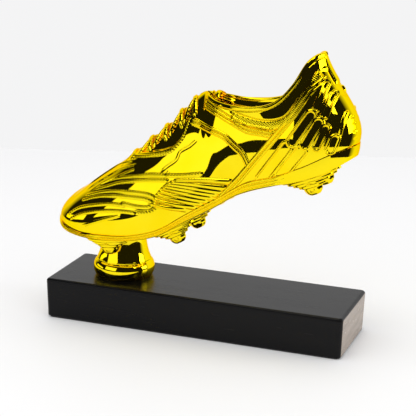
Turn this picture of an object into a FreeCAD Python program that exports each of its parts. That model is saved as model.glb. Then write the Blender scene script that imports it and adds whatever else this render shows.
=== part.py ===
import FreeCAD, Part
import math
import os
from FreeCAD import Vector

# Golden boot figure trophy, in millimetres, standing on Z = 0.
# X runs along the base towards the boot's heel, Y across it, Z up.
# The origin is the centre of the base's underside. The boot points to -X,
# so its left side is at -Y and its right side at +Y.

os.makedirs("parts", exist_ok=True)

# ---- driving dimensions ----------------------------------------------------
BASE_LENGTH = 200.0
BASE_WIDTH = 61.5
BASE_TOP = 26.7            # height of the base's top face
BASE_DRAFT = 1.4           # how much narrower the base is at the bottom
BASE_CORNER = 3.0          # radius of its upright corners
BASE_EDGE = 2.0            # radius round its top face
PAD_THICKNESS = 1.2
PAD_INSET = 2.0

BOLT_X = -57.0             # the bolt and the riser share this axis
BOLT_DIAMETER = 6.0
BOLT_CLEARANCE = 0.3       # radial clearance round the shank
BOLT_END = 1.5             # how far the shank stands out above the nut
TIP_CHAMFER = 0.7
HEAD_ACROSS_FLATS = 10.0
HEAD_HEIGHT = 4.0
SPLIT_WIDTH = 1.0          # gap in the spring washer
COUNTERBORE_DIAMETER = 18.0
COUNTERBORE_TOP = 15.0     # height of the counterbore's ceiling
WASHER_DIAMETER = 12.0
WASHER_THICKNESS = 1.6
WASHER_CLEARANCE = 0.2     # radial clearance of a washer round the shank
NUT_HEIGHT = 5.0
NUT_FIT = 0.02             # radial gap between the nut's bore and the shank
NUT_POCKET_CLEARANCE = 0.3 # extra width across the flats of the nut's pocket
BOSS_DIAMETER = 22.0
BOSS_TOP = 77.0
NUT_SEAT = 71.0            # floor of the nut's pocket in the boss

# Radius and height above the base of each turn of the riser's outline.
RISER_FOOT = (18.2, 0.0)
RISER_WIDEST = (20.2, 5.5)
RISER_BOWL_TOP = (18.0, 11.0)
RISER_CREASE = (17.5, 11.8)
RISER_WAIST = (15.5, 19.0)
RISER_NECK = (14.2, 27.0)
RISER_TOP = (13.7, 34.0)

# Levels between which the boot's plan outline is stood up as a block.
PRISM_BOTTOM = 50.0
PRISM_TOP = 140.0
ACROSS = 140.0             # length of a block that runs right across the boot
ABOVE_ALL = 200.0

WALL = 2.6                 # thickness of the boot's moulded wall
GLUE_GAP = 0.2             # room for glue between two moulded pieces
SOLE_LIP = 0.9             # how far the sole stands out past the upper
TOE_BEND = 3.0             # how far the toe swings to the right
FAR_DIP = 2.4              # how much lower the collar is on the right
INSOLE_THICKNESS = 2.2
INSOLE_GAP = 1.2           # room between the insole and the wall
INSOLE_FRONT = -40.0       # the insole starts behind the toes
LACE_RADIUS = 1.6
LACE_REACH = 9.5           # how far each lace bar reaches either side of the middle
LACE_LIFT = 0.35           # clearance under a lace bar's crown
CAGE_THICKNESS = 1.1
CAGE_RIB = 7               # the rib where the heel cage's wrap begins
CAGE_SPAN = (0.02, 0.72)   # part of each rib the cage covers
TAB_THICKNESS = 1.6
TAB_SPAN = (0.74, 0.99)    # part of the heel's rib the tab covers
TAB_WIDTH = 9.0

# The upper's ribs, from toe to heel, on its left side.  Each rib is a Bezier
# curve: foot, lower handle, upper handle, top, as (x, half width, z).
RIBS = [
    ((-102, 0, 63.5), (-103.6, 0, 68.5), (-95.5, 0, 77), (-87, 0, 82)),
    ((-98.5, 11.5, 62.2), (-101, 13, 68.5), (-92, 7, 77.2), (-83.5, 0, 84.6)),
    ((-91, 21, 61), (-93, 24, 68.5), (-84.5, 14, 83), (-78, 0, 88.7)),
    ((-79, 27.5, 59.8), (-79.5, 31, 71), (-73.5, 19, 91), (-69.5, 0, 95)),
    ((-62, 31.3, 60.9), (-61.5, 35.5, 76), (-58, 22, 102.8), (-56, 0, 104.8)),
    ((-40, 33, 63.6), (-40, 37.5, 83), (-39, 22, 119), (-38.5, 0, 120.4)),
    ((-21, 31.3, 69.5), (-22, 36, 92), (-23.5, 20, 132.5), (-24, 0, 133.4)),
    ((-4, 28.6, 80.5), (-6, 33, 104), (-8.5, 17, 148), (-9.5, 0, 149)),
    ((5, 27.4, 86.3), (3, 32, 109), (-1, 16.5, 151), (-2, 0, 154)),
    ((12, 26.4, 90.5), (10, 31, 112), (2.5, 18, 147), (2.5, 8.5, 154)),
    ((18, 25.8, 94), (16.5, 30, 115), (9.5, 21.5, 142), (9.5, 16, 152.2)),
    ((25, 25.2, 98.8), (23.5, 28.5, 117), (19, 24, 138), (19, 20, 151)),
    ((34, 24.8, 104.3), (33, 27.5, 119), (32, 24.5, 137), (32, 21.7, 150.8)),
    ((52, 24.5, 110), (52.5, 27.5, 124), (50.5, 24.5, 141), (48, 20.7, 154.8)),
    ((70, 24, 118), (71, 27.3, 132), (65, 22, 152), (58.5, 17.5, 165.5)),
    ((84, 20, 125.5), (86.5, 22.5, 139), (75, 16.5, 160), (66, 12.5, 179.5)),
    ((93.3, 11.5, 129.3), (96.8, 13, 146), (77, 9.5, 164.5), (70.5, 6.5, 183.5)),
    ((96.8, 0, 130), (102.3, 0, 149), (78, 0, 165.5), (73, 0, 184)),
]

# Underside of the sole along its length, as (x, z).
SOLE_BOTTOM = [
    (-106, 61), (-92, 57.6), (-78, 56.6), (-62, 57), (-40, 59.6),
    (-22, 64.5), (-8, 73), (7, 81.6), (18, 88.6), (27, 94.6),
    (39, 99.6), (52, 103.6), (64, 106.6), (80, 112.5), (92, 119), (106, 127),
]

# Each stud: name, x and y of its root on the sole, lean from upright, size.
STUDS = [
    ("stud_front", -58.5, 22.5, 5, 1.0),
    ("stud_middle", -15.5, 18.5, 28, 0.95),
    ("stud_heel", 71, 13.5, 22, 1.0),
]
# Half width and height of a stud's sections, from its faired root to its tip.
STUD_SECTIONS = [(7.6, 4.0), (7.0, 0.0), (5.6, -3.8), (4.5, -5.6), (3.4, -10.6)]
STUD_STRETCH = 1.4         # its length along the boot for each unit of width
STUD_ROUNDING = 1.4

# The tongue's stations: x and z of its crown, lean in degrees, half width.
TONGUE = [
    (-40, 113.5, 40, 12), (-24, 127, 45, 11.5), (-8, 142, 45, 10),
    (1.5, 149.4, 48, 8), (6.5, 155.6, 60, 7.2),
]
TONGUE_ARCH = 0.45         # how far its edges drop for each unit of half width
TONGUE_THICKNESS = 1.8

# Diagonal front border of the heel cage and its upper corner, as (x, z).
CAGE_BORDER = [
    (6, 78), (14, 92), (28, 108), (42, 126), (52, 139), (60, 150), (67.5, 163),
    (76, 163), (115, 163), (115, 78),
]
# Windows of the heel cage: centre x, centre z, length.
CAGE_WINDOWS = [
    (38, 110, 12), (54, 116.5, 14),
    (49, 132, 10), (60, 134, 13), (71, 136, 12),
    (68, 152, 9), (77, 151, 10),
]
WINDOW_WIDTH = 4.6
WINDOW_LEAN = 38.0         # degrees from upright, towards the heel

LACE_PLACES = [-49, -38, -28, -18, -9]     # x of each lace bar on the ridge


def cylinder(radius, bottom, top):
    """Upright cylinder on the bolt's axis."""
    return Part.makeCylinder(radius, top - bottom, Vector(BOLT_X, 0, bottom))


def bolt_hole():
    return cylinder(BOLT_DIAMETER / 2 + BOLT_CLEARANCE, -1, ABOVE_ALL)


def hexagon(across_flats, bottom, top):
    """Upright six-sided bar on the bolt's axis."""
    radius = across_flats / math.sqrt(3)
    corners = [
        Vector(BOLT_X + radius * math.cos(k * math.pi / 3),
               radius * math.sin(k * math.pi / 3), bottom)
        for k in range(7)
    ]
    return Part.Face(Part.makePolygon(corners)).extrude(Vector(0, 0, top - bottom))


# ---- the boot's skin ---------------------------------------------------------

def centre_line(x):
    """Y of the boot's middle, which swings to the right towards the toe."""
    forward = min(max((20 - x) / 120, 0), 1)
    return TOE_BEND * forward ** 2


def place(point, side):
    """A rib's point on the left (-1) or right (+1) side of the boot."""
    x, half_width, z = point
    dip = 0.0
    if side > 0 and half_width > 0 and z > 140:
        dip = FAR_DIP * math.exp(-((x - 22) / 22) ** 2)
    return Vector(x, centre_line(x) + side * half_width, z - dip)


def rib_loop():
    """All ribs round the boot: toe to heel on the left, back on the right."""
    left = [[place(p, -1) for p in rib] for rib in RIBS]
    right = [[place(p, 1) for p in rib] for rib in RIBS[-2:0:-1]]
    return left + right


def loop_parameters():
    """Distance round the boot at each rib, the same on both sides."""
    half = [0.0]
    for rib, following in zip(LOOP, LOOP[1:len(RIBS)]):
        steps = [a.distanceToPoint(b) for a, b in zip(rib, following)]
        half.append(half[-1] + sum(steps) / len(steps))
    whole = 2 * half[-1]
    return half + [whole - value for value in half[-2::-1]]


LOOP = rib_loop()
PARAMETERS = loop_parameters()
HEEL_RIB = len(RIBS) - 1
TOE_AGAIN = len(LOOP)          # the toe's rib, reached again from the right
TONGUE_RIB = 8                 # the last rib whose top is on the middle line


def on_middle(index, j):
    """Whether a rib's point stays on the middle line beside its neighbours."""
    index = index % len(LOOP)
    return j == 3 and min(index, len(LOOP) - index) <= TONGUE_RIB


def slope(points, k, j):
    """Change of a rib's point with the distance round the boot."""
    count = len(points)
    before = PARAMETERS[k] - PARAMETERS[k - 1] if k > 0 else PARAMETERS[-1] - PARAMETERS[-2]
    after = PARAMETERS[k + 1] - PARAMETERS[k] if k < count else PARAMETERS[1]
    here = points[k % count]
    ahead = (points[(k + 1) % count] - here) * (before / after)
    behind = (here - points[(k - 1) % count]) * (after / before)
    result = (ahead + behind) * (1 / (before + after))
    if on_middle(k, j):
        if k == 0:
            result = ahead * (1 / before)
        if k == count:
            result = behind * (1 / after)
        forward = min(max((20 - here.x) / 120, 0), 1)
        result.y = -TOE_BEND * forward / 60 * result.x
    return result


def skin(loop, first, last):
    """Smooth surface through the ribs from one rib number to another."""
    rows = []
    for j in range(4):
        points = [rib[j] for rib in loop]
        row = []
        for k in range(first, last + 1):
            here = points[k % len(points)]
            change = slope(points, k, j)
            if k > first:
                row.append(here - change * ((PARAMETERS[k] - PARAMETERS[k - 1]) / 3))
            if k < last:
                row.append(here + change * ((PARAMETERS[k + 1] - PARAMETERS[k]) / 3))
        rows.append([points[first]] + row + [points[last % len(points)]])
    poles = [list(column) for column in zip(*rows)]
    knots = PARAMETERS[first:last + 1]
    surface = Part.BSplineSurface()
    surface.buildFromPolesMultsKnots(
        poles, [4] + [2] * (len(knots) - 2) + [4], [4, 4], knots, [0, 1],
        False, False, 3, 3)
    return surface


OUTER = skin(LOOP, 0, TOE_AGAIN)
# The surface's own normal points either into or out of the boot, all over.
LEFT_MIDDLE = OUTER.normal(PARAMETERS[5], 0.5)
NORMAL_SENSE = -math.copysign(1, LEFT_MIDDLE.y)


def outward(u, v):
    """Unit normal of the outer skin, pointing out of the boot."""
    if u == 0:
        v = min(v, 0.95)       # the toe's rib runs into the top line here
    normal = OUTER.normal(u, v) * NORMAL_SENSE
    if v == 0:
        normal.z = 0
        normal.normalize()
    return normal


def offset_ribs(distance):
    """The ribs moved outwards by a distance, or inwards if it is negative."""
    moved = []
    for k, rib in enumerate(LOOP):
        points = [point + outward(PARAMETERS[k], v) * distance
                  for point, v in zip(rib, (0, 0.35, 0.7, 1))]
        for j, point in enumerate(points):
            if k in (0, HEEL_RIB) or on_middle(k, j):
                point.y = centre_line(point.x)
        moved.append(points)
    return moved


def borders(surface):
    """The four border curves of a surface: low V, high V, low U, high U."""
    u0, u1, v0, v1 = surface.bounds()
    return [surface.vIso(v0), surface.vIso(v1), surface.uIso(u0), surface.uIso(u1)]


def strip(first, second):
    """Straight-ruled face between two curves with the same knots."""
    surface = Part.BSplineSurface()
    surface.buildFromPolesMultsKnots(
        [[a, b] for a, b in zip(first.getPoles(), second.getPoles())],
        first.getMultiplicities(), [2, 2], first.getKnots(), [0, 1],
        False, False, first.Degree, 1)
    return surface.toShape()


def wall(inner_ribs, outer_ribs, first, last, span=(0.0, 1.0)):
    """Solid between two skins from one rib to another, over part of their height."""
    inside = skin(inner_ribs, first, last)
    outside = skin(outer_ribs, first, last)
    for surface in (inside, outside):
        u0, u1, v0, v1 = surface.bounds()
        surface.segment(u0, u1, span[0], span[1])
    faces = [inside.toShape(), outside.toShape()]
    for a, b in zip(borders(inside), borders(outside)):
        faces.append(strip(a, b))
    shell = Part.makeCompound(faces)
    shell.sewShape()
    solid = Part.makeSolid(shell.Shells[0])
    if solid.Volume < 0:
        solid.reverse()
    return solid


# ---- bands across the boot, used for the sole and what meets it ---------------

def band(lower, upper):
    """Block across the boot between two lines of (x, z) points from toe to heel."""
    def line(points):
        ends = [Vector(x, -ACROSS / 2, z) for x, z in points]
        if len(ends) == 2:
            return Part.LineSegment(ends[0], ends[1]).toShape()
        curve = Part.BSplineCurve()
        curve.interpolate(ends)
        return curve.toShape()
    low, high = line(lower), line(upper)
    front = Part.LineSegment(low.Vertexes[0].Point, high.Vertexes[0].Point).toShape()
    back = Part.LineSegment(low.Vertexes[-1].Point, high.Vertexes[-1].Point).toShape()
    face = Part.Face(Part.Wire(Part.__sortEdges__([low, high, front, back])))
    return face.extrude(Vector(0, ACROSS, 0))


def raised(points, height):
    return [(x, z + height) for x, z in points]


SOLE_TOP = [(rib[0][0], rib[0][2]) for rib in RIBS]
SOLE_TOP = [(-106, 63.8)] + SOLE_TOP + [(106, 131)]
HIGH = [(-106, ABOVE_ALL), (106, ABOVE_ALL)]


def plan_prism(growth):
    """The upper's plan outline, grown by a distance, as an upright block."""
    points = [Vector(rib[0].x, rib[0].y, PRISM_BOTTOM) for rib in offset_ribs(growth)]
    curve = Part.BSplineCurve()
    curve.interpolate(Points=points, Parameters=PARAMETERS, PeriodicFlag=True)
    face = Part.Face(Part.Wire(curve.toShape()))
    return face.extrude(Vector(0, 0, PRISM_TOP - PRISM_BOTTOM))


ABOVE_SOLE_BOTTOM = band(SOLE_BOTTOM, HIGH)
ABOVE_SOLE_TOP = band(SOLE_TOP, HIGH)


# ---- base --------------------------------------------------------------------

def rounded_rectangle(length, width, radius, z):
    box = Part.makeBox(length, width, 1, Vector(-length / 2, -width / 2, z))
    upright = [e for e in box.Edges if abs(e.Vertexes[0].Z - e.Vertexes[-1].Z) > 0.5]
    rounded = box.makeFillet(radius, upright)
    return min(rounded.Faces, key=lambda f: f.CenterOfMass.z).OuterWire


def make_base_block():
    bottom = rounded_rectangle(BASE_LENGTH - BASE_DRAFT, BASE_WIDTH - BASE_DRAFT,
                               BASE_CORNER, PAD_THICKNESS)
    top = rounded_rectangle(BASE_LENGTH, BASE_WIDTH, BASE_CORNER, BASE_TOP)
    block = Part.makeLoft([bottom, top], True, True)
    rim = max(block.Faces, key=lambda f: f.CenterOfMass.z).Edges
    block = block.makeFillet(BASE_EDGE, rim)
    block = block.cut(bolt_hole())
    return block.cut(cylinder(COUNTERBORE_DIAMETER / 2, 0, COUNTERBORE_TOP))


def make_base_pad():
    outline = rounded_rectangle(BASE_LENGTH - BASE_DRAFT - PAD_INSET,
                                BASE_WIDTH - BASE_DRAFT - PAD_INSET, BASE_CORNER, 0)
    pad = Part.Face(outline).extrude(Vector(0, 0, PAD_THICKNESS))
    return pad.cut(cylinder(COUNTERBORE_DIAMETER / 2, -1, PAD_THICKNESS + 1))


def make_riser():
    """Bowl with a crease above it, running up as a cone to the sole."""
    def turn(place):
        return Vector(place[0], 0, BASE_TOP + place[1])
    foot, widest, bowl_top, crease, waist, neck, top = [turn(place) for place in (
        RISER_FOOT, RISER_WIDEST, RISER_BOWL_TOP, RISER_CREASE, RISER_WAIST,
        RISER_NECK, RISER_TOP)]
    axis_foot = Vector(0, 0, foot.z)
    axis_top = Vector(0, 0, top.z)
    outline = [
        Part.LineSegment(axis_foot, foot),
        Part.Arc(foot, widest, bowl_top),
        Part.LineSegment(bowl_top, crease),
        Part.Arc(crease, waist, neck),
        Part.LineSegment(neck, top),
        Part.LineSegment(top, axis_top),
        Part.LineSegment(axis_top, axis_foot),
    ]
    face = Part.Face(Part.Wire([line.toShape() for line in outline]))
    riser = face.revolve(Vector(0, 0, 0), Vector(0, 0, 1), 360)
    riser.translate(Vector(BOLT_X, 0, 0))
    return riser.cut(bolt_hole()).cut(ABOVE_SOLE_BOTTOM)


# ---- bolt, washers, nut --------------------------------------------------------

HEAD_TOP = COUNTERBORE_TOP - 2 * WASHER_THICKNESS


def make_bolt():
    """Hexagon bolt with a chamfered head, its head downwards."""
    head = hexagon(HEAD_ACROSS_FLATS, HEAD_TOP - HEAD_HEIGHT, HEAD_TOP)
    cap = Part.makeCone(HEAD_ACROSS_FLATS / 2, HEAD_ACROSS_FLATS / 2 + HEAD_HEIGHT,
                        HEAD_HEIGHT, Vector(BOLT_X, 0, HEAD_TOP - HEAD_HEIGHT))
    shank = cylinder(BOLT_DIAMETER / 2, HEAD_TOP, NUT_SEAT + NUT_HEIGHT + BOLT_END)
    tip = max(shank.Edges, key=lambda e: e.CenterOfMass.z)
    return head.common(cap).fuse(shank.makeChamfer(TIP_CHAMFER, [tip])).removeSplitter()


def make_washer(bottom, split):
    washer = cylinder(WASHER_DIAMETER / 2, bottom, bottom + WASHER_THICKNESS)
    washer = washer.cut(cylinder(BOLT_DIAMETER / 2 + WASHER_CLEARANCE, 0, ABOVE_ALL))
    if split:
        gap = Part.makeBox(WASHER_DIAMETER, SPLIT_WIDTH, WASHER_THICKNESS,
                           Vector(BOLT_X, -SPLIT_WIDTH / 2, bottom))
        washer = washer.cut(gap)
    return washer


def make_nut():
    nut = hexagon(HEAD_ACROSS_FLATS, NUT_SEAT, NUT_SEAT + NUT_HEIGHT)
    return nut.cut(cylinder(BOLT_DIAMETER / 2 + NUT_FIT, 0, ABOVE_ALL))


# ---- boot ----------------------------------------------------------------------

def make_sole_plate():
    """Plate between the sole's underside and the upper's foot."""
    profile = band(SOLE_BOTTOM, raised(SOLE_TOP, -GLUE_GAP))
    return plan_prism(SOLE_LIP).common(profile).cut(bolt_hole())


def make_mount_boss():
    """Boss inside the boot with a pocket for the nut."""
    boss = cylinder(BOSS_DIAMETER / 2, PRISM_BOTTOM, BOSS_TOP).common(ABOVE_SOLE_TOP)
    pocket = hexagon(HEAD_ACROSS_FLATS + NUT_POCKET_CLEARANCE, NUT_SEAT, BOSS_TOP + 1)
    return boss.cut(bolt_hole()).cut(pocket)


def make_insole():
    underside = raised(SOLE_TOP, GLUE_GAP / 2)
    layer = band(underside, raised(underside, INSOLE_THICKNESS))
    behind_toes = Part.makeBox(ABOVE_ALL, ACROSS, ABOVE_ALL,
                               Vector(INSOLE_FRONT, -ACROSS / 2, 0))
    return plan_prism(-WALL - INSOLE_GAP).common(layer).common(behind_toes)


def make_tongue():
    """Arched plate that follows the throat and stands out of the collar."""
    wires = []
    for x, z, lean, half in TONGUE:
        slant = math.radians(lean)
        up = Vector(-math.sin(slant), 0, math.cos(slant))
        crown = Vector(x, centre_line(x), z)
        across = Vector(0, half, 0)
        drop = up * (half * TONGUE_ARCH)
        thickness = up * TONGUE_THICKNESS
        outer = Part.Arc(crown - across - drop, crown, crown + across - drop)
        inner = Part.Arc(outer.EndPoint - thickness, crown - thickness,
                         outer.StartPoint - thickness)
        right = Part.LineSegment(outer.EndPoint, inner.StartPoint)
        left = Part.LineSegment(inner.EndPoint, outer.StartPoint)
        wires.append(Part.Wire([c.toShape() for c in (outer, right, inner, left)]))
    return Part.makeLoft(wires, True)


def halved(low, high, short):
    """Where a test stops holding between two values, found by halving."""
    for _ in range(30):
        middle = (low + high) / 2
        if short(middle):
            low = middle
        else:
            high = middle
    return low


def make_lace(x):
    """Lace bar that arches over the throat from one edge to the other."""
    u = halved(0, PARAMETERS[TONGUE_RIB], lambda u: OUTER.value(u, 1).x < x)
    crest = OUTER.value(u, 1)
    v = halved(0.6, 1, lambda v: abs(OUTER.value(u, v).y - crest.y) > LACE_REACH)
    lift = LACE_RADIUS + LACE_LIFT
    far = PARAMETERS[-1] - u
    left = OUTER.value(u, v) + outward(u, v) * lift
    right = OUTER.value(far, v) + outward(far, v) * lift
    path = Part.Arc(left, crest + outward(u, 1) * lift, right).toShape()
    circle = path.Curve
    section = Part.Circle(left, path.tangentAt(path.FirstParameter), LACE_RADIUS)
    disc = Part.Face(Part.Wire(section.toShape()))
    angle = math.degrees(path.LastParameter - path.FirstParameter)
    return disc.revolve(circle.Center, circle.Axis, angle)


def make_stud(x, y, lean, size):
    """Stud with a faired root and a rounded tip, leaning with the sole."""
    wires = []
    for radius, height in STUD_SECTIONS:
        ring = Part.Circle(Vector(0, 0, height), Vector(0, 0, 1), radius * size)
        wires.append(Part.Wire(ring.toShape()))
    stud = Part.makeLoft(wires, True, True)
    bottom = min(stud.Edges, key=lambda e: e.CenterOfMass.z)
    stud = stud.makeFillet(STUD_ROUNDING, [bottom])
    stretch = FreeCAD.Matrix()
    stretch.scale(STUD_STRETCH, 1.0, 1.0)
    stud = stud.transformGeometry(stretch)
    stud.rotate(Vector(0, 0, 0), Vector(0, 1, 0), -lean)
    stud.translate(Vector(x, y + centre_line(x), sole_height(x)))
    return stud.cut(ABOVE_SOLE_BOTTOM)


def sole_height(x):
    """Height of the sole's underside, by straight steps between its points."""
    for (x0, z0), (x1, z1) in zip(SOLE_BOTTOM, SOLE_BOTTOM[1:]):
        if x0 <= x <= x1:
            return z0 + (z1 - z0) * (x - x0) / (x1 - x0)
    return SOLE_BOTTOM[0][1]


def window_prism(x, z, length):
    """Slot through both sides of the heel cage, leaning back."""
    half = WINDOW_WIDTH / 2
    straight = length - WINDOW_WIDTH
    slot = Part.makeBox(WINDOW_WIDTH, ACROSS, straight,
                        Vector(-half, -ACROSS / 2, -straight / 2))
    for end in (-straight / 2, straight / 2):
        rounding = Part.makeCylinder(half, ACROSS, Vector(0, -ACROSS / 2, end), Vector(0, 1, 0))
        slot = slot.fuse(rounding)
    slot = slot.removeSplitter()
    slot.rotate(Vector(0, 0, 0), Vector(0, 1, 0), WINDOW_LEAN)
    slot.translate(Vector(x, 0, z))
    return slot


def make_heel_cage():
    """Shell round the heel, cut to its slanting front border and its windows."""
    cage = wall(offset_ribs(GLUE_GAP), offset_ribs(CAGE_THICKNESS),
                CAGE_RIB, TOE_AGAIN - CAGE_RIB, CAGE_SPAN)
    corners = [Vector(x, -ACROSS / 2, z) for x, z in CAGE_BORDER]
    border = Part.Face(Part.makePolygon(corners + corners[:1]))
    cage = cage.common(border.extrude(Vector(0, ACROSS, 0)))
    for x, z, length in CAGE_WINDOWS:
        cage = cage.cut(window_prism(x, z, length))
    return cage


def make_heel_tab():
    """Upright strip down the back of the heel, above the cage."""
    tab = wall(offset_ribs(GLUE_GAP), offset_ribs(TAB_THICKNESS),
               HEEL_RIB - 1, HEEL_RIB + 1, TAB_SPAN)
    middle = Part.makeBox(ABOVE_ALL, TAB_WIDTH, ABOVE_ALL, Vector(0, -TAB_WIDTH / 2, 0))
    return tab.common(middle)


def main():
    """Make every piece and write each one under its node's name."""
    inner = offset_ribs(-WALL)
    pieces = {
        "base_block": make_base_block(),
        "base_pad": make_base_pad(),
        "riser": make_riser(),
        "clamp_bolt": make_bolt(),
        "spring_washer": make_washer(HEAD_TOP, True),
        "flat_washer": make_washer(HEAD_TOP + WASHER_THICKNESS, False),
        "captive_nut": make_nut(),
        "mount_boss": make_mount_boss(),
        "sole_plate": make_sole_plate(),
        "insole": make_insole(),
        "upper_left": wall(inner, LOOP, 0, HEEL_RIB),
        "upper_right": wall(inner, LOOP, HEEL_RIB, TOE_AGAIN),
        "tongue": make_tongue(),
        "heel_cage": make_heel_cage(),
        "heel_tab": make_heel_tab(),
    }
    for number, x in enumerate(LACE_PLACES, 1):
        pieces["lace_%d" % number] = make_lace(x)
    for name, x, y, lean, size in STUDS:
        pieces[name + "_left"] = make_stud(x, -y, lean, size)
        pieces[name + "_right"] = make_stud(x, y, lean, size)
    for node, shape in pieces.items():
        print(node, len(shape.Solids), "solid", round(shape.Volume), "mm3")
        print("    valid", shape.isValid())
        shape.exportStep("parts/" + node + ".step")


main()
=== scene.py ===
"""Looks of the golden boot trophy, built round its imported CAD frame.

The frame is in metres.  The boot's shapes are set out here in millimetres and
scaled when they become meshes.  The boot points to -X; its left side is at -Y.
"""
import math

import bpy
import numpy as np
from mathutils import Matrix, Vector


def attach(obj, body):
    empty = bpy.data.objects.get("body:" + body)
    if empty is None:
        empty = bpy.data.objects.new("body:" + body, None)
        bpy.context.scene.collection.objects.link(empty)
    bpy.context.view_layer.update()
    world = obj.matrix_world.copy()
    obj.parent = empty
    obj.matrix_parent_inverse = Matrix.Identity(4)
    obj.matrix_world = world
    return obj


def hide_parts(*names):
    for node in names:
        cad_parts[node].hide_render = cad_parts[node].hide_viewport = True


MM = 0.001
CAMERA_YAW = math.radians(19.5)     # the camera looks this far to the left of +Y

# ---- sizes shared with the CAD -------------------------------------------------------
TOE_BEND = 3.0             # how far the toe swings to the right
FAR_DIP = 2.4              # how much lower the collar is on the right
TONGUE_RIB = 8             # the last rib whose top is on the middle line
BASE_TOP = 26.7
BOLT_X = -57.0

# Ribs from toe to heel: foot, lower handle, upper handle, top, as (x, half width, z).
RIBS = np.array([
    ((-102, 0, 63.5), (-103.6, 0, 68.5), (-95.5, 0, 77), (-87, 0, 82)),
    ((-98.5, 11.5, 62.2), (-101, 13, 68.5), (-92, 7, 77.2), (-83.5, 0, 84.6)),
    ((-91, 21, 61), (-93, 24, 68.5), (-84.5, 14, 83), (-78, 0, 88.7)),
    ((-79, 27.5, 59.8), (-79.5, 31, 71), (-73.5, 19, 91), (-69.5, 0, 95)),
    ((-62, 31.3, 60.9), (-61.5, 35.5, 76), (-58, 22, 102.8), (-56, 0, 104.8)),
    ((-40, 33, 63.6), (-40, 37.5, 83), (-39, 22, 119), (-38.5, 0, 120.4)),
    ((-21, 31.3, 69.5), (-22, 36, 92), (-23.5, 20, 132.5), (-24, 0, 133.4)),
    ((-4, 28.6, 80.5), (-6, 33, 104), (-8.5, 17, 148), (-9.5, 0, 149)),
    ((5, 27.4, 86.3), (3, 32, 109), (-1, 16.5, 151), (-2, 0, 154)),
    ((12, 26.4, 90.5), (10, 31, 112), (2.5, 18, 147), (2.5, 8.5, 154)),
    ((18, 25.8, 94), (16.5, 30, 115), (9.5, 21.5, 142), (9.5, 16, 152.2)),
    ((25, 25.2, 98.8), (23.5, 28.5, 117), (19, 24, 138), (19, 20, 151)),
    ((34, 24.8, 104.3), (33, 27.5, 119), (32, 24.5, 137), (32, 21.7, 150.8)),
    ((52, 24.5, 110), (52.5, 27.5, 124), (50.5, 24.5, 141), (48, 20.7, 154.8)),
    ((70, 24, 118), (71, 27.3, 132), (65, 22, 152), (58.5, 17.5, 165.5)),
    ((84, 20, 125.5), (86.5, 22.5, 139), (75, 16.5, 160), (66, 12.5, 179.5)),
    ((93.3, 11.5, 129.3), (96.8, 13, 146), (77, 9.5, 164.5), (70.5, 6.5, 183.5)),
    ((96.8, 0, 130), (102.3, 0, 149), (78, 0, 165.5), (73, 0, 184)),
], float)
# Underside of the sole along its length, as (x, z).
SOLE_BOTTOM = np.array([
    (-106, 61), (-92, 57.6), (-78, 56.6), (-62, 57), (-40, 59.6),
    (-22, 64.5), (-8, 73), (7, 81.6), (18, 88.6), (27, 94.6),
    (39, 99.6), (52, 103.6), (64, 106.6), (80, 112.5), (92, 119), (106, 127),
], float)
# Studs: name, x and y of the root on the sole, lean from upright, size.
STUDS = [
    ("stud_front", -58.5, 22.5, 5, 1.0),
    ("stud_middle", -15.5, 18.5, 28, 0.95),
    ("stud_heel", 71, 13.5, 22, 1.0),
]
LACE_PLACES = [-49, -38, -28, -18, -9]     # x of each lace on the ridge
# Tongue from below the laces to its free end: x, z, lean in degrees, half width.
TONGUE = [(-40, 113.5, 40, 12), (-24, 127, 45, 11.5), (-8, 142, 45, 10), (1.5, 149.4, 48, 8),
          (6.5, 155.6, 60, 7.2)]

# ---- details of the boot, as (x, z) lines on its side --------------------------------
ROPE_PITCH = 2.0           # length of one turn of a cord's strands
BEADED_CORDS = [
    [(-67, 90.5), (-58, 95), (-50, 98), (-38, 101), (-28, 103), (-14, 104.5), (-3, 106), (7, 108)],
    [(-70, 87), (-58, 92), (-50, 95.2), (-38, 98.2), (-28, 100), (-15, 101.5)],
    [(-77, 82), (-64, 87), (-52, 90), (-42, 91), (-30, 91.5), (-24, 90), (-21, 86.5),
     (-23, 82.5), (-28, 80), (-36, 79)],
    [(-79, 79), (-66, 84), (-54, 86.8), (-42, 88), (-31, 88.5), (-26.5, 87.5), (-25.5, 85.5),
     (-28, 83.6), (-36, 83.2), (-47, 84)],
    [(-88, 69), (-79, 75), (-65, 79.5), (-54, 82), (-43, 82.5)],
    [(-86, 66.5), (-77, 71.5), (-65, 75.5), (-53, 78), (-42, 79), (-36, 79)],
]
EYESTAY = [(-50, 109.5), (-38, 112), (-30, 114), (-23, 116), (-16, 119), (-11, 125), (-9, 129),
           (-8, 134), (-7, 140)]
FAN_COUNT = 9              # ribs spread evenly between the ends of two lines
FAN_LEFT = [(-13, 101.5), (-18, 99), (-21, 96), (-24, 92), (-26, 86)]
FAN_RIGHT = [(26, 104), (23, 99), (20, 96), (16, 94), (13, 91), (9, 89), (5, 86), (-2, 84)]
QUARTER_RIDGE = [(-6, 139), (3, 137), (12, 135), (19, 133), (26, 128), (32, 123), (37, 113)]
COLLAR_SEAM = [(1, 147), (12, 144), (20, 141), (27, 138), (34, 135.5), (42, 135), (52, 134)]
COLLAR_BAND = [(22, 144.5), (36, 141.5), (47, 141), (56, 143.5), (61, 148), (65, 155), (70, 164),
               (74.5, 173)]
TOE_CREASE = [(-75, 64.5), (-62, 70), (-46, 76)]
VAMP_RIBS = [
    [(-82, 84.5), (-68, 95.5), (-55, 104), (-41, 109.5)],
    [(-79, 84), (-66, 93.5), (-53, 101.8), (-38, 107.8)],
    [(-76, 84), (-64, 91.8), (-50, 99.8), (-38, 105.6)],
]
VAMP_WRINKLES = [
    [(1, 128), (-4, 123), (-10, 119), (-12, 114), (-18, 109), (-22, 105)],
    [(-15, 108), (-19, 102)],
]
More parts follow.
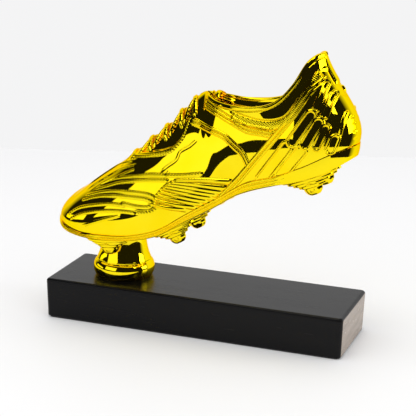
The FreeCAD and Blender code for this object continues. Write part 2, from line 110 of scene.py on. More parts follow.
# Diagonal front border of the heel cage, its upper edge, and its windows as the two
# ends of each window's middle line and half its width.
CAGE_BORDER = [(6, 78), (14, 92), (28, 108), (42, 126), (52, 139), (60, 150), (67.5, 163),
               (76, 172)]
CAGE_WINDOWS = [
    ((44, 108), (59, 129), 2.6), ((56, 112), (68, 128), 2.6),
    ((62.5, 133), (72, 148.5), 2.4), ((70.5, 132), (76.8, 144.5), 2.2), ((77, 131), (81, 141.5), 1.6),
    ((84.5, 129), (86.5, 135.5), 1.6),
    ((74.8, 153), (77.6, 166.5), 0.9), ((79.6, 149), (82.6, 160.5), 1.1),
]
CAGE_TOP = np.array([(60, 175), (76, 172), (81, 166.5), (86, 160.5), (92, 156.5), (103, 152)])
CAGE_BAR = ((89, 138), (90.3, 150))
HEEL_DIMPLES = [(93.5, 147), (95, 143.5), (95.8, 139), (96.4, 134.5)]

# ---- lights --------------------------------------------------------------------------
# Name, place, the point it faces, width, height, power; in metres and watts.
SOFTBOXES = [
    ("front_light", (-0.66, -1.04, 0.44), (0, 0, 0.1), 1.0, 0.64, 2.4),
    ("left_light", (-1.4, -0.2, 0.17), (0, 0, 0.1), 0.9, 0.2, 0.7),
    ("top_light", (-0.1, -0.1, 1.3), (0, 0, 0.1), 0.8, 0.8, 5),
    ("heel_light", (1.1, -0.45, 1.0), (0, 0, 0.1), 0.25, 0.5, 1.2),
    ("end_light", (1.2, 0.35, 0.35), (0.1, 0, 0.02), 0.5, 0.4, 3),
]
BACKDROP = (0.905, 0.905, 0.91, 1)         # the room as the camera sees it
ROOM_DARK = (0.012, 0.012, 0.012, 1)       # the room in reflections
ROOM_PALE = (0.95, 0.95, 0.95, 1)          # its far side, behind the boot, in reflections


# ---- the boot's skin -----------------------------------------------------------------

def smoothstep(low, high, value):
    """0 at low, 1 at high and smooth between; low may be the larger."""
    t = np.clip((value - low) / (high - low), 0, 1)
    return t * t * (3 - 2 * t)


def unit(vectors):
    length = np.linalg.norm(vectors, axis=-1, keepdims=True)
    return vectors / np.maximum(length, 1e-9)


def centre_line(x):
    """Y of the boot's middle, which swings to the right towards the toe."""
    return TOE_BEND * np.clip((20 - x) / 120, 0, 1) ** 2


def placed_ribs(side):
    """The ribs on the left (-1) or right (+1) side of the boot."""
    x, half_width, z = RIBS[..., 0], RIBS[..., 1], RIBS[..., 2]
    lowered = (side > 0) & (half_width > 0) & (z > 140)
    dip = np.where(lowered, FAR_DIP * np.exp(-((x - 22) / 22) ** 2), 0)
    return np.stack([x, centre_line(x) + side * half_width, z - dip], -1)


LOOP = np.concatenate([placed_ribs(-1), placed_ribs(1)[-2:0:-1]])
STEPS = np.linalg.norm(np.diff(placed_ribs(-1), axis=0), axis=2).mean(1)
HALF_WAY = np.concatenate([[0], np.cumsum(STEPS)])
STATIONS = np.concatenate([HALF_WAY, 2 * HALF_WAY[-1] - HALF_WAY[-2::-1]])
HEEL = HALF_WAY[-1]
ROUND = STATIONS[-1]


def slopes():
    """Change of every rib point with the distance round the boot."""
    count = len(LOOP)
    found = np.zeros((count + 1, 4, 3))
    for k in range(count + 1):
        before = STATIONS[k] - STATIONS[k - 1] if k > 0 else STATIONS[-1] - STATIONS[-2]
        after = STATIONS[k + 1] - STATIONS[k] if k < count else STATIONS[1]
        here = LOOP[k % count]
        ahead = (LOOP[(k + 1) % count] - here) * (before / after)
        behind = (here - LOOP[(k - 1) % count]) * (after / before)
        change = (ahead + behind) / (before + after)
        if min(k % count, count - k % count) <= TONGUE_RIB:
            if k == 0:
                change[3] = ahead[3] / before
            if k == count:
                change[3] = behind[3] / after
            forward = np.clip((20 - here[3, 0]) / 120, 0, 1)
            change[3, 1] = -TOE_BEND * forward / 60 * change[3, 0]
        found[k] = change
    return found


SLOPES = slopes()


def skin(q, v):
    """Points of the skin at distances q round the boot and heights v from 0 to 1."""
    count = len(LOOP)
    i = np.clip(np.searchsorted(STATIONS, q, side="right") - 1, 0, count - 1)
    step = (STATIONS[i + 1] - STATIONS[i])[:, None, None]
    t = (q - STATIONS[i])[:, None, None] / step
    ribs = ((2 * t ** 3 - 3 * t ** 2 + 1) * LOOP[i % count]
            + (t ** 3 - 2 * t ** 2 + t) * SLOPES[i] * step
            + (-2 * t ** 3 + 3 * t ** 2) * LOOP[(i + 1) % count]
            + (t ** 3 - t ** 2) * SLOPES[i + 1] * step)[:, None]
    v = v[None, :, None]
    return (ribs[:, :, 0] * (1 - v) ** 3 + 3 * ribs[:, :, 1] * v * (1 - v) ** 2
            + 3 * ribs[:, :, 2] * v ** 2 * (1 - v) + ribs[:, :, 3] * v ** 3)


def grid_normals(grid):
    """Unit normals of a grid of points that point away from the boot's inside."""
    normals = unit(np.cross(np.gradient(grid, axis=0), np.gradient(grid, axis=1)))
    middle = grid[len(grid) // 2, grid.shape[1] // 2]
    sample = normals[len(grid) // 2, grid.shape[1] // 2]
    return normals if sample[1] * (middle[1] - centre_line(middle[0])) > 0 else -normals


COLUMNS = 640              # grid over one side of the boot: columns from toe to heel
ROWS = 230                 # and rows from the sole to the rim
Q_LEFT = np.linspace(0, HEEL, COLUMNS)
V_ROWS = np.linspace(0, 1, ROWS)
LEFT = skin(Q_LEFT, V_ROWS)
FLAT = LEFT.reshape(-1, 3)
FLAT_NORMALS = grid_normals(LEFT).reshape(-1, 3)
BELOW_RIM = np.linalg.norm(LEFT - LEFT[:, -1:], axis=2).reshape(-1)


# ---- lines drawn on the skin ---------------------------------------------------------

def smooth_line(points, step=0.8):
    """The points joined by a smooth curve, in even steps."""
    points = np.asarray(points, float)
    ends = np.concatenate([[2 * points[0] - points[1]], points, [2 * points[-1] - points[-2]]])
    pieces = []
    for a, b, c, d in zip(ends, ends[1:], ends[2:], ends[3:]):
        t = np.linspace(0, 1, 24, endpoint=False)[:, None]
        pieces.append(0.5 * (2 * b + (c - a) * t + (2 * a - 5 * b + 4 * c - d) * t ** 2
                             + (3 * b - a - 3 * c + d) * t ** 3))
    fine = np.concatenate(pieces + [points[-1:]])
    along = np.concatenate([[0], np.cumsum(np.linalg.norm(np.diff(fine, axis=0), axis=1))])
    even = np.linspace(0, along[-1], max(int(along[-1] / step), 4) + 1)
    return np.stack([np.interp(even, along, fine[:, k]) for k in range(fine.shape[1])], 1)


def on_skin(line):
    """A smooth line given in side view, laid on the boot's left side."""
    found = []
    for x, z in smooth_line(line):
        nearest = np.argmin((FLAT[:, 0] - x) ** 2 + (FLAT[:, 2] - z) ** 2)
        found.append(FLAT[nearest] + (x - FLAT[nearest, 0], 0, z - FLAT[nearest, 2]))
    path = np.array(found)
    for _ in range(5):
        path[1:-1, 1] = (path[:-2, 1] + path[1:-1, 1] + path[2:, 1]) / 3
    return path


def measure(path, reach):
    """Distance of the left grid's points to a path, how far along it and on which side.

    Points out of reach are left at a great distance.  The last value is the path's length.
    """
    distance = np.full(len(FLAT), 1e3)
    along = np.zeros(len(FLAT))
    side = np.ones(len(FLAT))
    travelled = 0.0
    for a, b in zip(path, path[1:]):
        direction = b - a
        length = np.linalg.norm(direction)
        low = np.minimum(a, b) - reach
        high = np.maximum(a, b) + reach
        near = np.flatnonzero(((FLAT > low) & (FLAT < high)).all(1))
        offset = FLAT[near] - a
        t = np.clip(offset @ direction / length ** 2, 0, 1)
        apart = offset - t[:, None] * direction
        separation = np.linalg.norm(apart, axis=1)
        closer = separation < distance[near]
        chosen = near[closer]
        distance[chosen] = separation[closer]
        along[chosen] = travelled + t[closer] * length
        turn = np.cross(direction, apart[closer])
        side[chosen] = np.sign((turn * FLAT_NORMALS[chosen]).sum(1))
        travelled += length
    return distance, along, side, travelled


def round_bump(distance, half):
    """1 on a line, falling to 0 at half the bump's width, like a half-round bead."""
    return np.sqrt(np.clip(1 - (distance / half) ** 2, 0, 1))


def soft_bump(distance, half):
    """1 on a line, falling smoothly to 0 at half the bump's width."""
    return np.clip(1 - (distance / half) ** 2, 0, 1) ** 2


def faded(along, length, fade):
    """Fades a line in and out over a distance at its ends."""
    return smoothstep(0, fade, along) * smoothstep(0, fade, length - along)


def rope(line, half=1.0, height=0.7):
    """Relief of a twisted cord laid on the boot."""
    distance, along, side, length = measure(on_skin(line), half + 0.2)
    strands = np.cos(2 * math.pi * (along / ROPE_PITCH + 0.25 * side * distance / half))
    relief = height * round_bump(distance, half) * (0.7 + 0.3 * strands)
    return relief * faded(along, length, 2.5)


def ridge(line, half, height, fade=4.0):
    """Relief of a plain rib, or of a groove where the height is negative."""
    distance, along, _, length = measure(on_skin(line), half + 0.2)
    return height * round_bump(distance, half) * faded(along, length, fade)


def shifted(line, dx, dz):
    return [(x + dx, z + dz) for x, z in line]


def between(line, share):
    """The point at a share of the way along a broken line of (x, z) points."""
    line = np.asarray(line, float)
    place = share * (len(line) - 1)
    i = min(int(place), len(line) - 2)
    return line[i] + (line[i + 1] - line[i]) * (place - i)


def fan_relief():
    """Ribs that spread from the vamp towards the heel cage."""
    relief = np.zeros(len(FLAT))
    for share in np.linspace(0, 1, FAN_COUNT):
        left = between(FAN_LEFT, share)
        right = between(FAN_RIGHT, share)
        middle = (left + right) / 2 + (0, 1.5 * (0.5 - share))
        distance, along, _, length = measure(on_skin([left, middle, right]), 2.6)
        width = 0.75 + 1.1 * along / length
        crest = round_bump(distance, width) * 1.15
        relief = np.maximum(relief, crest * faded(along, length, 3.5))
    return relief


def upper_relief():
    """Height of all the detail moulded on the upper, in mm, over the left grid."""
    relief = np.zeros(len(FLAT))
    for line in BEADED_CORDS:
        relief += rope(line)
    relief += rope(EYESTAY, half=1.1, height=0.8)
    relief += fan_relief()
    for dx, dz in ((0, 0), (-0.8, -2.2)):
        relief += ridge(shifted(QUARTER_RIDGE, dx, dz), 0.85, 0.95)
    for lift, half, height in ((0, 0.8, 0.95), (2.3, 0.8, 0.9), (4.6, 0.7, 0.7)):
        relief += ridge(shifted(COLLAR_SEAM, 0, lift), half, height)
    relief += collar_band_relief()
    relief += ridge(TOE_CREASE, 0.8, 0.5)
    for line in VAMP_RIBS:
        relief += ridge(line, 0.8, 0.55, 8)
    for line in VAMP_WRINKLES:
        relief += ridge(line, 1.0, -0.4)
    relief += rim_relief()
    relief += collar_swell()
    relief += throat_relief()
    x, z = FLAT[:, 0], FLAT[:, 2]
    waviness = np.sin(x / 9 + z / 13) * np.sin(z / 11 - x / 17)
    return (relief + 0.15 * waviness).reshape(COLUMNS, ROWS)


def collar_band_relief():
    """Raised padded band below the collar with a pebbled face."""
    distance, along, _, length = measure(on_skin(COLLAR_BAND), 4)
    x, y, z = FLAT.T
    pebbles = np.sin(x * 3.9 + z * 1.3) * np.sin(z * 3.7 - x * 0.9 + y)
    face = round_bump(distance, 2.7)
    edge = 0.35 * soft_bump(distance - 3.1, 0.6)
    return (face * (1.25 + 0.16 * pebbles) - edge) * faded(along, length, 3)


def collar_swell():
    """The padded collar swells gently from its stitched band up to the rim."""
    x, z = FLAT[:, 0], FLAT[:, 2]
    reach = 16
    distance = np.minimum(measure(on_skin(COLLAR_BAND), reach)[0], reach)
    share = distance / (distance + BELOW_RIM + 0.01)
    band = np.array(COLLAR_BAND, float)
    above = smoothstep(0, 2, z - np.interp(x, band[:, 0], band[:, 1]))
    return 1.8 * share * above * smoothstep(14, 30, x)


def throat_relief():
    """The throat under the laces lies a little lower than the leather beside it."""
    x, z = FLAT[:, 0], FLAT[:, 2]
    edge = np.array(EYESTAY, float)
    above = z - np.interp(x, edge[:, 0], edge[:, 1])
    inside = smoothstep(-55, -46, x) * smoothstep(-6, -9, x)
    return -1.5 * smoothstep(1.4, 3.6, above) * inside


def rim_relief():
    """Fine crease below the collar's rolled edge."""
    open_collar = np.repeat(smoothstep(STATIONS[8], STATIONS[10], Q_LEFT), ROWS)
    return -0.4 * soft_bump(BELOW_RIM - 2.6, 0.9) * open_collar


# ---- meshes --------------------------------------------------------------------------

def signed_volume(points, quads):
    """Volume that the quads enclose, negative if they face inwards."""
    a, b, c, d = (points[quads[:, k]] for k in range(4))
    return ((np.cross(a, b) * c).sum() + (np.cross(a, c) * d).sum()) / 6


def ring_faces(count, size, closed=False):
    """Quads between neighbouring rings of points, and end caps unless they close up."""
    index = np.arange(count * size).reshape(count, size)
    here = index if closed else index[:-1]
    there = np.roll(index, -1, 0) if closed else index[1:]
    quads = np.stack([here, there, np.roll(there, -1, 1), np.roll(here, -1, 1)], -1).reshape(-1, 4)
    caps = [] if closed else [index[0].tolist(), index[-1][::-1].tolist()]
    return quads, caps


def add_mesh(name, points, quads, caps, normals):
    """A mesh object from millimetre points, with its faces turned outwards."""
    if signed_volume(points, quads) < 0:
        quads = quads[:, ::-1]
        caps = [cap[::-1] for cap in caps]
    mesh = bpy.data.meshes.new(name)
    mesh.from_pydata((points * MM).tolist(), [], quads.tolist() + caps)
    mesh.update()
    mesh.polygons.foreach_set("use_smooth", np.ones(len(mesh.polygons), bool))
    if normals is not None:
        mesh.normals_split_custom_set_from_vertices(normals.tolist())
    thing = bpy.data.objects.new(name, mesh)
    bpy.context.scene.collection.objects.link(thing)
    return thing


def add_rings(name, rings, closed=False, normals=None):
    """A mesh object through rings of millimetre points."""
    rings = np.asarray(rings, float)
    quads, caps = ring_faces(len(rings), rings.shape[1], closed)
    flat_normals = None if normals is None else normals.reshape(-1, 3)
    return add_mesh(name, rings.reshape(-1, 3), quads, caps, flat_normals)


def tube(centres, first, second, radius, count):
    """Rings round the centres, each in the plane of its own first and the second direction."""
    angle = np.linspace(0, 2 * math.pi, count, endpoint=False)[None, :, None]
    around = np.cos(angle) * first[:, None] + np.sin(angle) * np.asarray(second, float)
    return centres[:, None] + radius * around


def joined(name, parts):
    """One object from several; used where a piece has moulded-on details."""
    bpy.ops.object.select_all(action="DESELECT")
    for part in parts:
        part.select_set(True)
    bpy.context.view_layer.objects.active = parts[0]
    bpy.ops.object.join()
    parts[0].name = name
    parts[0].data.name = name
    return parts[0]


def fit_piece(thing, nodes, material):
    """Gives a piece its material, hangs it from the root body and hides the CAD nodes that it replaces."""
    thing.data.materials.clear()
    thing.data.materials.append(material)
    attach(thing, "root")
    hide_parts(*nodes)


# ---- materials -----------------------------------------------------------------------

def new_material(name):
    material = bpy.data.materials.new(name)
    material.use_nodes = True
    return material, material.node_tree, material.node_tree.nodes["Principled BSDF"]


def noise(tree, scale, detail, stretch):
    """Noise in object space, in patterns per metre."""
    coordinates = tree.nodes.new("ShaderNodeTexCoord")
    mapping = tree.nodes.new("ShaderNodeMapping")
    mapping.inputs["Scale"].default_value = stretch
    texture = tree.nodes.new("ShaderNodeTexNoise")
    texture.inputs["Scale"].default_value = scale
    texture.inputs["Detail"].default_value = detail
    tree.links.new(coordinates.outputs["Object"], mapping.inputs["Vector"])
    tree.links.new(mapping.outputs["Vector"], texture.inputs["Vector"])
    return texture


def ranged(tree, source, low, high):
    """A value spread from low to high by a texture."""
    spread = tree.nodes.new("ShaderNodeMapRange")
    spread.inputs["From Min"].default_value = 0.3
    spread.inputs["From Max"].default_value = 0.7
    spread.inputs["To Min"].default_value = low
    spread.inputs["To Max"].default_value = high
    tree.links.new(source.outputs["Fac"], spread.inputs["Value"])
    return spread.outputs["Result"]


def coloured(tree, source, first, second):
    """A colour spread between two by a texture."""
    ramp = tree.nodes.new("ShaderNodeValToRGB")
    ramp.color_ramp.elements[0].position = 0.3
    ramp.color_ramp.elements[1].position = 0.7
    ramp.color_ramp.elements[0].color = (*first, 1)
    ramp.color_ramp.elements[1].color = (*second, 1)
    tree.links.new(source.outputs["Fac"], ramp.inputs["Fac"])
    return ramp.outputs["Color"]


def add_bump(tree, shader, source, strength, distance):
    """Fine relief, as deep as the distance in metres."""
    bump = tree.nodes.new("ShaderNodeBump")
    bump.inputs["Strength"].default_value = strength
    bump.inputs["Distance"].default_value = distance
    tree.links.new(source.outputs["Fac"], bump.inputs["Height"])
    tree.links.new(bump.outputs["Normal"], shader.inputs["Normal"])


def surface(name, first, second, rough, scale, bump, metallic=0.0, stretch=(1, 1, 1)):
    """A material whose colour and roughness vary gently, with a fine relief."""
    material, tree, shader = new_material(name)
    shader.inputs["Metallic"].default_value = metallic
    broad = noise(tree, scale, 3.0, stretch)
    fine = noise(tree, scale * 9, 4.0, stretch)
    tree.links.new(coloured(tree, broad, first, second), shader.inputs["Base Color"])
    tree.links.new(ranged(tree, fine, *rough), shader.inputs["Roughness"])
    add_bump(tree, shader, fine, *bump)
    return material, shader


def paint_end_light(material, shader):
    """Painted light: a pale, streaked colour on the two faces square to X, standing in for light that
    falls on the base's ends.
    """
    tree = material.node_tree
    # Painted light: the streaky pale colour stands in for light on the end faces.
    streak_noise = noise(tree, 60, 5.0, (1, 0.5, 4))
    pale = coloured(tree, streak_noise, (0.24, 0.195, 0.155), (0.36, 0.30, 0.25))
    coordinates = tree.nodes.new("ShaderNodeTexCoord")
    axes = tree.nodes.new("ShaderNodeSeparateXYZ")
    tree.links.new(coordinates.outputs["Normal"], axes.inputs[0])
    squared = tree.nodes.new("ShaderNodeMath")
    squared.operation = "POWER"
    squared.inputs[1].default_value = 2
    tree.links.new(axes.outputs["X"], squared.inputs[0])
    facing = tree.nodes.new("ShaderNodeMapRange")
    facing.inputs["From Min"].default_value = 0.9
    facing.inputs["From Max"].default_value = 0.98
    tree.links.new(squared.outputs[0], facing.inputs["Value"])
    both = tree.nodes.new("ShaderNodeMixRGB")
    tree.links.new(facing.outputs["Result"], both.inputs[0])
    tree.links.new(shader.inputs["Base Color"].links[0].from_socket, both.inputs[1])
    tree.links.new(pale, both.inputs[2])
    tree.links.new(both.outputs["Color"], shader.inputs["Base Color"])


GOLD, gold_shader = surface("gold_plate", (1.0, 0.76, 0.004), (1.0, 0.80, 0.012), (0.015, 0.035), 45,
                            metallic=1.0, bump=(0.03, 0.00008))
gold_shader.inputs["Specular Tint"].default_value = (1.0, 0.72, 0.05, 1)
LACQUER, lacquer_shader = surface("black_lacquer", (0.003, 0.003, 0.0036), (0.0055, 0.0052, 0.0052),
                                  (0.20, 0.28), 40, stretch=(0.12, 1, 1), bump=(0.03, 0.00005))
lacquer_shader.inputs["IOR"].default_value = 1.23
# Painted light: pale streaks on the base's end faces.
paint_end_light(LACQUER, lacquer_shader)
FOAM, _ = surface("foam", (0.02, 0.02, 0.021), (0.035, 0.034, 0.034), (0.8, 0.95), 260,
                  bump=(0.5, 0.0003))
ZINC, _ = surface("zinc_steel", (0.55, 0.56, 0.58), (0.68, 0.68, 0.67), (0.25, 0.42), 120,
                  metallic=1.0, bump=(0.15, 0.0001))
PLASTIC, _ = surface("unplated_plastic", (0.62, 0.61, 0.58), (0.70, 0.69, 0.66), (0.45, 0.6), 90,
                     bump=(0.2, 0.0001))


# ---- upper ---------------------------------------------------------------------------

WALL = 2.4                 # the CAD's wall is 2.6
PADDING = 3.0              # extra thickness of the collar a little below its rim
RIM_ROWS = 9
INNER_ROWS = 36


def upper_rings(side, relief):
    """Closed sections of one moulded half: outside, rolled rim, inside."""
    q = Q_LEFT if side < 0 else ROUND - Q_LEFT
    outside = skin(q, V_ROWS)
    normals = grid_normals(outside)
    middle = centre_line(outside[..., 0])
    upward = unit(np.gradient(outside, axis=1))
    open_collar = smoothstep(STATIONS[8], STATIONS[9] + 2, Q_LEFT)[:, None, None]
    sink = open_collar * smoothstep(0.9, 1.0, V_ROWS)[None, :, None] * WALL / 2
    padding = (PADDING * open_collar * smoothstep(1.0, 0.84, V_ROWS)[None, :, None]
               * smoothstep(0.4, 0.75, V_ROWS)[None, :, None])
    inside = outside - normals * (WALL + padding) - upward * sink
    inside[..., 1] = np.where(side * (inside[..., 1] - middle) < 0, middle, inside[..., 1])
    outside = outside + normals * relief[..., None] - upward * sink
    start, end = outside[:, -1:], inside[:, -1:]
    angle = np.linspace(0, math.pi, RIM_ROWS + 2)[1:-1][None, :, None]
    rim = (start + (end - start) * (1 - np.cos(angle)) / 2
           + upward[:, -1:] * np.sin(angle) * open_collar * WALL / 2)
    inner_rows = np.linspace(ROWS - 1, 0, INNER_ROWS).astype(int)
    rings = np.concatenate([outside, rim, inside[:, inner_rows]], 1)
    return rings, grid_normals(outside)


def ring_normals(rings, outside_normals):
    """Normals of closed sections, pointing the same way as the outside's."""
    along = np.gradient(rings, axis=0)
    around = np.roll(rings, -1, 1) - np.roll(rings, 1, 1)
    normals = unit(np.cross(along, around))
    sample = (normals[COLUMNS // 2, ROWS // 2] * outside_normals[COLUMNS // 2, ROWS // 2]).sum()
    return normals if sample > 0 else -normals


def make_uppers():
    """Both halves, with the same normals where they meet."""
    relief = upper_relief()
    relief[:3] = 0
    relief[-3:] = 0
    rings = {}
    outside_normals = {}
    for side in (-1, 1):
        rings[side], outside_normals[side] = upper_rings(side, relief)
    closed_top = smoothstep(STATIONS[8] - 1, STATIONS[8] - 3, Q_LEFT)[:, None, None]
    shared = unit(outside_normals[-1] + outside_normals[1])
    for side, name in ((-1, "upper_left"), (1, "upper_right")):
        own = outside_normals[side]
        own[0], own[-1] = shared[0], shared[-1]
        top = closed_top[:, 0] * shared[:, -1] + (1 - closed_top[:, 0]) * own[:, -1]
        own[:, -1] = unit(top)
        normals = ring_normals(rings[side], own)
        keep = np.maximum(closed_top, (V_ROWS < 0.97)[None, :, None])
        normals[:, :ROWS] = unit(keep * own + (1 - keep) * normals[:, :ROWS])
        piece = add_rings(name, rings[side], normals=normals)
        fit_piece(piece, [name], GOLD)


# ---- patches laid over the skin ------------------------------------------------------

SUNK = 0.7                 # how far a patch's hidden parts lie below the skin
PATCH_DEPTH = 0.9          # how far its inner face does


def add_patch(name, q, v, thickness):
    """A plate round the heel that follows the skin; thickness is given for each grid point."""
    base = skin(q, v)
    normals = unit(np.cross(np.gradient(base, axis=0), np.gradient(base, axis=1)))
    if normals[len(q) // 2, len(v) // 2, 0] < 0:
        normals = -normals
    outside = base + normals * thickness(base)[..., None]
    inside = base - normals * PATCH_DEPTH
    rows = np.linspace(len(v) - 1, 0, 12).astype(int)
    return add_rings(name, np.concatenate([outside, inside[:, rows]], 1))


def flat_measure(points, a, b):
    """Distance in side view from points to the line between two (x, z) ends."""
    a, b = np.asarray(a, float), np.asarray(b, float)
    offset = points[..., [0, 2]] - a
    t = np.clip(offset @ (b - a) / ((b - a) @ (b - a)), 0, 1)
    return np.linalg.norm(offset - t[..., None] * (b - a), axis=-1)


def border_depth(points):
    """How far points are behind the cage's diagonal border, in side view."""
    line = np.asarray(CAGE_BORDER, float)
    depth = np.full(points.shape[:-1], 1e9)
    sign = np.ones(points.shape[:-1])
    for a, b in zip(line, line[1:]):
        direction = (b - a) / np.linalg.norm(b - a)
        offset = points[..., [0, 2]] - a
        distance = flat_measure(points, a, b)
        closer = distance < depth
        turned = direction[1] * offset[..., 0] - direction[0] * offset[..., 1]
        depth = np.where(closer, distance, depth)
        sign = np.where(closer, np.sign(turned), sign)
    return depth * sign


def cage_thickness(points):
    """Plate with a double rail along its border, framed windows, a bar and dimples."""
    depth = border_depth(points)
    height = 0.6 * smoothstep(-0.1, 0.3, depth)
    height += 1.0 * round_bump(depth - 1.1, 0.9) + 0.9 * round_bump(depth - 3.4, 0.9)
    for start, end, half in CAGE_WINDOWS:
        distance = flat_measure(points, start, end)
        height = np.maximum(height, 0.6 + 0.9 * round_bump(distance - half - 0.7, 0.8))
        height = height - (height - 0.1) * smoothstep(half + 0.2, half - 0.2, distance)
    height = height + 1.2 * round_bump(flat_measure(points, *CAGE_BAR), 1.0)
    for centre in HEEL_DIMPLES:
        reach = np.hypot(points[..., 0] - centre[0], points[..., 2] - centre[1])
        height = height - 0.35 * soft_bump(reach, 1.3)
    top = smoothstep(0.0, 1.2, np.interp(points[..., 0], *CAGE_TOP.T) - points[..., 2])
    height = np.where(depth < -0.1, -SUNK, height)
    return height * top - SUNK * (1 - top)


def make_cage():
    """Cage from the waist on the left, round the heel, to the waist on the right."""
    q = np.linspace(STATIONS[7], ROUND - STATIONS[7], 960)
    v = np.linspace(0.012, 0.9, 230)
    cage = add_patch("heel_cage", q, v, cage_thickness)
    fit_piece(cage, ["heel_cage"], GOLD)


def make_heel_tab():
    """Plump upright strip down the back of the heel."""
    half = 4.6
    q = np.linspace(HEEL - half, HEEL + half, 40)
    v = np.linspace(0.66, 0.985, 110)

    def thickness(points):
        across = np.abs(points[..., 1]) / half
        plump = np.sqrt(np.clip(1 - across ** 2, 0, 1))
        length = smoothstep(0.62, 0.7, v) * smoothstep(1.0, 0.96, v)
        return (0.3 + 1.3 * plump) * length[None, :]

    tab = add_patch("heel_tab", q, v, thickness)
    fit_piece(tab, ["heel_tab"], GOLD)


# ---- sole and studs ------------------------------------------------------------------

def sole_height(x):
    """Height of the sole's underside."""
    line = smooth_line(SOLE_BOTTOM, 1.0)
    return np.interp(x, line[:, 0], line[:, 1])


# Side of the sole from its top edge down: share of the height and how far it stands out.
SOLE_SIDE = [(0, 0.2), (0.03, 0.9), (0.1, 1.1), (0.2, 1.1), (0.27, 0.5), (0.33, 0.5), (0.4, 1.1),
             (0.52, 1.1), (0.59, 0.5), (0.65, 0.55), (0.72, 1.0), (0.82, 0.8), (0.92, 0.0),
             (0.98, -1.2), (1.0, -2.6)]
SOLE_COLUMNS = 420


def make_sole():
    """Sole whose side is ribbed from the toe to the arch and plain at the heel."""
    q = HEEL * (1 - np.cos(np.linspace(0.02, math.pi - 0.02, SOLE_COLUMNS))) / 2
    sides = {}
    for side in (-1, 1):
        foot = skin(q if side < 0 else ROUND - q, np.array([0.0]))[:, 0]
        along = unit(np.gradient(foot, axis=0))
        outward = unit(np.stack([-along[:, 1], along[:, 0], 0 * along[:, 0]], 1))
        outward *= np.sign(outward[SOLE_COLUMNS // 2, 1] * side)
        top = foot[:, 2] - 0.15
        bottom = sole_height(foot[:, 0])
        ribbed = smoothstep(62, 42, foot[:, 0])[:, None]
        edge = []
        for share, out in smooth_line(SOLE_SIDE, 0.045):
            plain = 1.0 - 1.6 * max(share - 0.15, 0) ** 2 - 2.6 * smoothstep(0.9, 1.0, share)
            point = foot + outward * (out * ribbed + plain * (1 - ribbed))
            point[:, 2] = top + (bottom - top) * share
            edge.append(point)
        sides[side] = np.stack(edge, 1)
    left, right = sides[-1], sides[1]
    across = np.linspace(0, 1, 26)[1:-1][None, :, None]
    underside = left[:, -1:] * (1 - across) + right[:, -1:] * across
    offset = np.abs(across[..., 0] - 0.5) * 2
    width = np.abs(right[:, -1, 1] - left[:, -1, 1])[:, None]
    rails = soft_bump(offset - 0.45, 0.16) * 1.1 * smoothstep(16, 30, width)
    steps = 0.35 * np.cos(underside[..., 0] * 2 * math.pi / 7) * smoothstep(0.9, 0.7, offset)
    underside[..., 2] -= rails + steps * smoothstep(16, 30, width)
    upside = right[:, :1] * (1 - across) + left[:, :1] * across
    rings = np.concatenate([left, underside, right[:, ::-1], upside], 1)
    sole = add_rings("sole_plate", rings)
    fit_piece(sole, ["sole_plate"], GOLD)


def turned(points, x, y, lean):
    """Points of a stud about its own root, put on the sole."""
    angle = math.radians(lean)
    px, py, pz = points[..., 0], points[..., 1], points[..., 2]
    return np.stack([x + px * math.cos(angle) - pz * math.sin(angle), y + py,
                     float(sole_height(x)) + px * math.sin(angle) + pz * math.cos(angle)], -1)


# Stud from root to tip: height, half length, half width.
STUD_SECTIONS = [(3.5, 19, 9.8), (0.6, 18.4, 9.2), (0, 15.6, 8.2), (-1.5, 15, 7.9), (-2, 12.2, 6.9),
                 (-3.5, 11.6, 6.6), (-4, 9, 5.6), (-5.5, 8.2, 5.2), (-6, 6.2, 4.5), (-7.8, 5.6, 4.1),
                 (-9.6, 4.6, 3.4), (-10.8, 3.1, 2.3), (-11.1, 1.2, 0.9)]


STUD_SIDES = smooth_line(STUD_SECTIONS, 0.25)
EYE_RADIUS = 1.4
DASH_LEVELS = (0.4, -1.6, -3.4)


def stud_body():
    """Layered blade about the stud's own root."""
    angle = np.linspace(0, 2 * math.pi, 72, endpoint=False)
    rings = []
    for height, half_length, half_width in STUD_SIDES:
        blade = 1 + 0.05 * np.cos(6 * angle) * smoothstep(-1, -4, height)
        rings.append(np.stack([half_length * np.cos(angle) * blade, half_width * np.sin(angle) * blade,
                               np.full_like(angle, height)], 1))
    return np.array(rings)


def stud_eye(side):
    """Small ring on the outer face of a stud."""
    turn = np.linspace(0, 2 * math.pi, 28, endpoint=False)
    outward = np.stack([np.cos(turn), 0 * turn, np.sin(turn)], 1)
    return tube(EYE_RADIUS * outward + (0, side * 3.75, -7.4), outward, (0, 1, 0), 0.45, 10)


def stud_dash(side, level):
    """Short raised bar across the hump of a stud."""
    half_width = float(np.interp(-level, -STUD_SIDES[:, 0], STUD_SIDES[:, 2]))
    small = np.linspace(0, 2 * math.pi, 12, endpoint=False)
    rings = []
    for k in np.linspace(-1, 1, 15):
        thick = 0.55 * math.sqrt(max(1 - k ** 4, 0.02))
        centre = np.array([2.6 * k, side * half_width * (1 - 0.05 * k * k), level])
        rings.append(centre + np.stack([0 * small, 0.5 * thick * np.cos(small), thick * np.sin(small)], 1))
    return np.array(rings)


def make_stud(name, x, y, lean, size):
    """Stud with an eye and dashes on its outer face."""
    side = math.copysign(1, y)
    parts = [add_rings(name, turned(stud_body() * size, x, y, lean)),
             add_rings(name + "_eye", turned(stud_eye(side) * size, x, y, lean), closed=True)]
    for level in DASH_LEVELS:
        parts.append(add_rings(name + "_dash", turned(stud_dash(side, level) * size, x, y, lean)))
    fit_piece(joined(name, parts), [name], GOLD)


# ---- tongue and laces ----------------------------------------------------------------

TONGUE_STEP = 0.6
LOOP_CENTRE = (1.6, float(centre_line(3)), 152.4)


